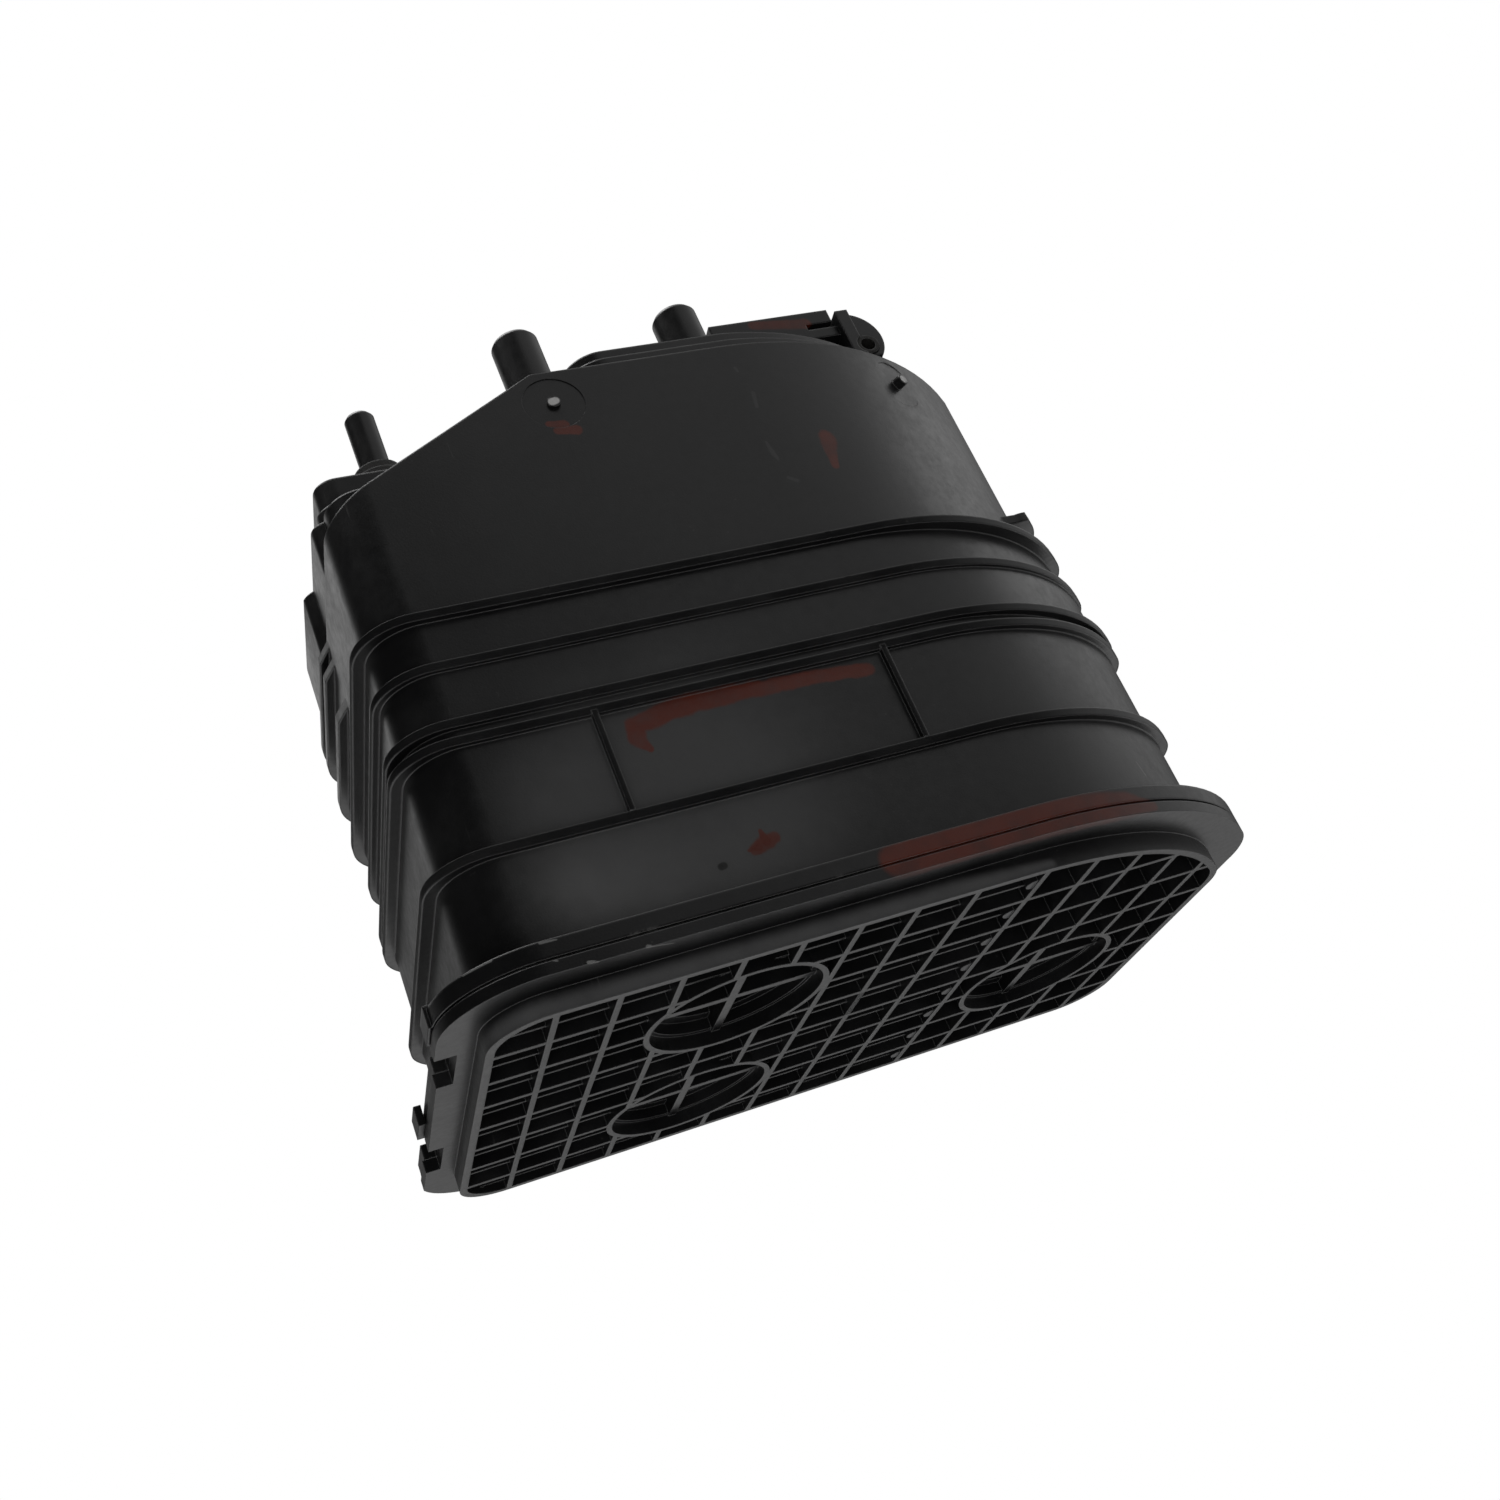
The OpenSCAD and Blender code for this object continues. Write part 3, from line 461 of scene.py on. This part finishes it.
# Ring in the eye and collar at the foot of the purge nipple: soft black rubber, pressed on.
# Rubber blooms, so it is duller and a trifle browner than the plastic.
RUBBER_BLACK = (0.0045, 0.0044, 0.0042, 1)
RUBBER_BLOOM = (0.0130, 0.0125, 0.0115, 1)
rubber = black_moulding("soft_rubber", RUBBER_BLACK, RUBBER_BLOOM, 0.62, grain=0.9, waves=0.2,
                        scuffed=0.15)
finish_node("clip_ring", rubber)
finish_node("purge_collar", rubber)


# Charcoal beds: crushed activated charcoal poured into each chamber, held tight by the
# plates. Matt black granules a millimetre or two across, with grey broken faces.
CHARCOAL_BLACK = (0.004, 0.004, 0.004, 1)
CHARCOAL_GREY = (0.030, 0.030, 0.031, 1)


def charcoal():
    made, tree, shader = new_material("charcoal_granules")
    place = node_in(tree, "ShaderNodeTexCoord").outputs["Object"]
    grains = node_in(tree, "ShaderNodeTexVoronoi", {"Vector": place, "Scale": 620})
    tone = node_in(tree, "ShaderNodeSeparateColor", {0: grains.outputs["Color"]}).outputs[0]
    colour = mix_in(tree, tone, CHARCOAL_BLACK, CHARCOAL_GREY)
    bump = node_in(tree, "ShaderNodeBump", {"Strength": 0.9, "Distance": 0.0008,
                                            "Height": grains.outputs["Distance"]})
    bump.invert = True
    tree.links.new(colour, shader.inputs["Base Color"])
    tree.links.new(ramp_in(tree, tone, 0, 1, 0.55, 0.9), shader.inputs["Roughness"])
    tree.links.new(bump.outputs["Normal"], shader.inputs["Normal"])
    return made


granules = charcoal()
for bed in ("main_carbon", "vent_carbon"):
    finish_node(bed, granules)


# Pads: needled polyester felt, cut to the chamber and laid above and below each bed, so
# that no dust leaves. Off-white, fuzzy, greyed by charcoal dust.
FELT_SHADE = (0.50, 0.49, 0.44, 1)
FELT_PALE = (0.72, 0.71, 0.66, 1)
FELT_DUSTY = (0.20, 0.20, 0.19, 1)


def felt():
    made, tree, shader = new_material("needled_felt")
    place = node_in(tree, "ShaderNodeTexCoord").outputs["Object"]
    fibres = noise_in(tree, place, 900, 6, 0.7)
    dusty = ramp_in(tree, noise_in(tree, place, 60, 4), 0.4, 0.7)
    colour = mix_in(tree, fibres, FELT_SHADE, FELT_PALE)
    colour = mix_in(tree, math_in(tree, "MULTIPLY", dusty, 0.5), colour, FELT_DUSTY)
    bump = node_in(tree, "ShaderNodeBump", {"Strength": 0.6, "Distance": 0.0004, "Height": fibres})
    tree.links.new(colour, shader.inputs["Base Color"])
    tree.links.new(bump.outputs["Normal"], shader.inputs["Normal"])
    shader.inputs["Roughness"].default_value = 0.95
    return made


pad_felt = felt()
for pad in ("main_upper_pad", "main_lower_pad", "vent_upper_pad", "vent_lower_pad"):
    finish_node(pad, pad_felt)


# Pressure plates: slotted plastic plates, one under each bed, free to slide in the shell
# so that the springs keep the charcoal packed. Greyed where the felt rubs.
PLATE_GREYED = (0.030, 0.030, 0.030, 1)
plate_plastic = black_moulding("plate_plastic", COVER_BLACK, PLATE_GREYED, 0.5, grain=0.7)
for plate in ("main_plate", "vent_plate"):
    finish_node(plate, plate_plastic)


# Springs: coils of drawn spring steel, one on each round well of the cover. Bright wire
# with a dull zinc bloom.
WIRE_DULL = (0.40, 0.40, 0.41, 1)
WIRE_BRIGHT = (0.66, 0.66, 0.67, 1)


def spring_wire():
    made, tree, shader = new_material("drawn_wire")
    place = node_in(tree, "ShaderNodeTexCoord").outputs["Object"]
    bloom = noise_in(tree, place, 300, 5, 0.65)
    colour = mix_in(tree, bloom, WIRE_DULL, WIRE_BRIGHT)
    tree.links.new(colour, shader.inputs["Base Color"])
    tree.links.new(ramp_in(tree, bloom, 0.3, 0.7, 0.28, 0.48), shader.inputs["Roughness"])
    shader.inputs["Metallic"].default_value = 1.0
    return made


wire = spring_wire()
for spring in ("spring_front", "spring_back", "spring_right"):
    finish_node(spring, wire)


# Floor: a plain pale studio table under the rib ends. The photograph looks up at the part
# from below the table's level, so the table is clear from its underside.
FLOOR_HALF = 3.0
FLOOR_PALE = (0.78, 0.78, 0.77, 1)
FLOOR_PALER = (0.81, 0.81, 0.80, 1)
floor_mesh = bpy.data.meshes.new("floor")
floor_mesh.from_pydata(
    [(-FLOOR_HALF, -FLOOR_HALF, 0), (FLOOR_HALF, -FLOOR_HALF, 0),
     (FLOOR_HALF, FLOOR_HALF, 0), (-FLOOR_HALF, FLOOR_HALF, 0)], [], [(0, 1, 2, 3)])
floor = bpy.data.objects.new("floor", floor_mesh)
bpy.context.scene.collection.objects.link(floor)
floor_paint, floor_tree, floor_shader = new_material("floor_paint")
mottled = noise_in(floor_tree, node_in(floor_tree, "ShaderNodeTexCoord").outputs["Object"], 9, 4)
floor_tree.links.new(mix_in(floor_tree, mottled, FLOOR_PALE, FLOOR_PALER),
                     floor_shader.inputs["Base Color"])
floor_shader.inputs["Roughness"].default_value = 0.9
underside = node_in(floor_tree, "ShaderNodeNewGeometry").outputs["Backfacing"]
see_through = floor_tree.nodes.new("ShaderNodeBsdfTransparent")
one_sided = node_in(floor_tree, "ShaderNodeMixShader", {0: underside, 1: floor_shader.outputs[0],
                                                        2: see_through.outputs[0]})
floor_tree.links.new(one_sided.outputs[0], floor_tree.nodes["Material Output"].inputs["Surface"])
floor_mesh.materials.append(floor_paint)
for rays in ("visible_diffuse", "visible_glossy", "visible_transmission", "visible_shadow"):
    setattr(floor, rays, False)


# Light: a studio with a wide soft box on the right, a pale wall in front, a lower soft box
# behind on the left, a pale table and a bright ceiling. One lamp above and two wide fills
# without glints bring colours to about the level at which they are written.
STUDIO_DIM = 0.02
WHITE = (1, 1, 1, 1)
BACK_LEFT = Vector((-0.26, 0.88, 0.42)).normalized()
world = bpy.data.worlds.new("studio")
bpy.context.scene.world = world
world.use_nodes = True
studio = world.node_tree
studio.nodes.clear()
look = node_in(studio, "ShaderNodeTexCoord").outputs["Generated"]
look_x, look_y, look_z = node_in(studio, "ShaderNodeSeparateXYZ", {0: look}).outputs
lower = ramp_in(studio, look_z, 0.30, 0.54, 0.24, 1.0)
box_right = math_in(studio, "MULTIPLY", ramp_in(studio, look_x, 0.72, 0.95, 0.0, 2.1),
                    ramp_in(studio, look_y, 0.35, 0.85, 1.0, 0.0))
box_right = math_in(studio, "MULTIPLY", box_right, lower)
raised = ramp_in(studio, look_z, 0.04, 0.26)
slanted = math_in(studio, "ADD", look_x, math_in(studio, "MULTIPLY", look_z, 0.4))
front_wall = math_in(studio, "MULTIPLY", ramp_in(studio, slanted, 0.29, 0.41, 0.0, 0.48),
                     ramp_in(studio, look_y, 0.35, 0.70, 1.0, 0.0))
front_wall = math_in(studio, "MULTIPLY", front_wall, raised)
towards_left = vector_in(studio, "DOT_PRODUCT", look, BACK_LEFT, 1)
box_left = math_in(studio, "MULTIPLY", ramp_in(studio, towards_left, 0.90, 0.985, 0.0, 0.75), lower)
table = ramp_in(studio, look_z, -0.45, -0.15, 1.0, 0.0)
table_glow = math_in(studio, "MULTIPLY", table, ramp_in(studio, look_y, 0.10, 0.50, 0.0, 1.0))
ceiling = ramp_in(studio, look_z, 0.80, 0.99, 0.0, 1.3)
level = STUDIO_DIM
for part in (box_right, front_wall, box_left, table_glow, ceiling):
    level = math_in(studio, "MAXIMUM", part, level)
studio_light = node_in(studio, "ShaderNodeBackground", {"Color": WHITE, "Strength": level})
backdrop = node_in(studio, "ShaderNodeBackground", {"Color": WHITE, "Strength": 1.0})
rays_of = node_in(studio, "ShaderNodeLightPath").outputs
seen = math_in(studio, "MAXIMUM", rays_of["Is Camera Ray"], rays_of["Is Transmission Ray"])
both = node_in(studio, "ShaderNodeMixShader", {0: seen, 1: studio_light.outputs[0],
                                               2: backdrop.outputs[0]})
studio_out = studio.nodes.new("ShaderNodeOutputWorld")
studio.links.new(both.outputs[0], studio_out.inputs["Surface"])


LAMP_PLACE = Vector((-0.3, 0.1, 1.4))
LAMP_TARGET = Vector((0, 0, 0.09))
FILL_SPREAD = math.radians(90)


def hang_lamp(name, kind, energy, shining):
    """A lamp of one kind that shines in one direction: (its object, its data)."""
    data = bpy.data.lights.new(name, kind)
    data.energy = energy
    lamp = bpy.data.objects.new(name, data)
    lamp.rotation_euler = shining.to_track_quat("-Z", "Y").to_euler()
    bpy.context.scene.collection.objects.link(lamp)
    return lamp, data


lamp_above, soft_disk = hang_lamp("lamp_above", "AREA", 8, LAMP_TARGET - LAMP_PLACE)
lamp_above.location = LAMP_PLACE
soft_disk.shape, soft_disk.size = "DISK", 1.0
for name, source, strength in (("fill_low_front", (-0.40, -0.65, -0.65), 4.2),
                               ("fill_high_back", (0.50, 0.60, 0.60), 2.0)):
    fill, even_light = hang_lamp(name, "SUN", strength, -Vector(source))
    even_light.angle = FILL_SPREAD
    fill.visible_glossy = False


# Camera: stands low in front of the left corner and looks up, as the photograph was taken,
# so the ribbed cover and the front are both in view.
PHOTO_PIXELS = 1500
FOCAL_PIXELS = 1648.8
SENSOR_MM = 36.0
CAMERA_PLACE = Vector((-151.15, -379.03, -104.5)) * MM
camera_right = Vector((0.9111, -0.1998, -0.3607))
camera_down = Vector((-0.2231, 0.4967, -0.8387))
camera_ahead = Vector((0.3467, 0.8446, 0.4080))
camera_data = bpy.data.cameras.new("camera")
camera_data.sensor_width = SENSOR_MM
camera_data.lens = SENSOR_MM * FOCAL_PIXELS / PHOTO_PIXELS
camera_data.clip_start = 0.01
camera = bpy.data.objects.new("camera", camera_data)
turn = Matrix((camera_right, -camera_down, -camera_ahead)).transposed()
camera.matrix_world = Matrix.Translation(CAMERA_PLACE) @ turn.to_4x4()
bpy.context.scene.collection.objects.link(camera)
bpy.context.scene.camera = camera
bpy.context.scene.view_settings.view_transform = "Standard"
